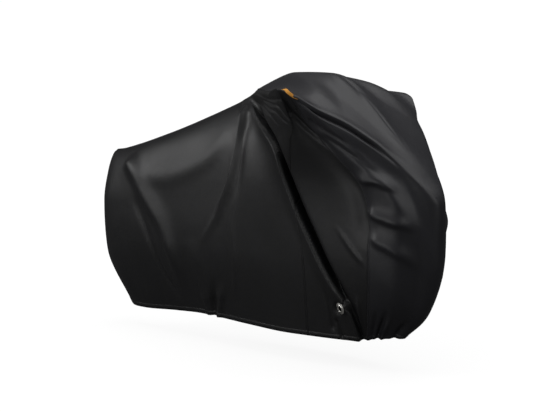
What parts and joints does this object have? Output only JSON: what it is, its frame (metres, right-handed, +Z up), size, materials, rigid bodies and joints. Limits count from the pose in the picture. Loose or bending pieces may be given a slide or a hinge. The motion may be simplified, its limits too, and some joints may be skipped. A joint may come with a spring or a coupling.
{
  "type": "bicycle cover",
  "caption": "Fitted black polyester bicycle cover with a draped hood over the handlebar, loose side folds, a metal lock eyelet low on one side and an orange pull loop.",
  "frame": {"origin": "underside of the cover's top on the centre line, where it rests on the handlebar stem", "axes": "+X forward along the bicycle, +Y to its left, +Z up; the ground is 1.203 m below the origin"},
  "size_m": [1.9995, 0.676, 1.1142],
  "materials": {
    "side_cloth": "satin, coated woven polyester",
    "hood_cloth": "satin, coated woven polyester, a shade lighter",
    "eyelet_steel": "polished, nickel plated",
    "orange_webbing": "matte woven webbing"
  },
  "bodies": {
    "root": {"side_rear_right": "side_cloth", "side_rear_left": "side_cloth", "side_front_right": "side_cloth", "side_front_left": "side_cloth", "hood": "hood_cloth", "eyelet_patch": "side_cloth", "lock_eyelet": "eyelet_steel", "pull_loop": "orange_webbing"}
  },
  "joints": []
}
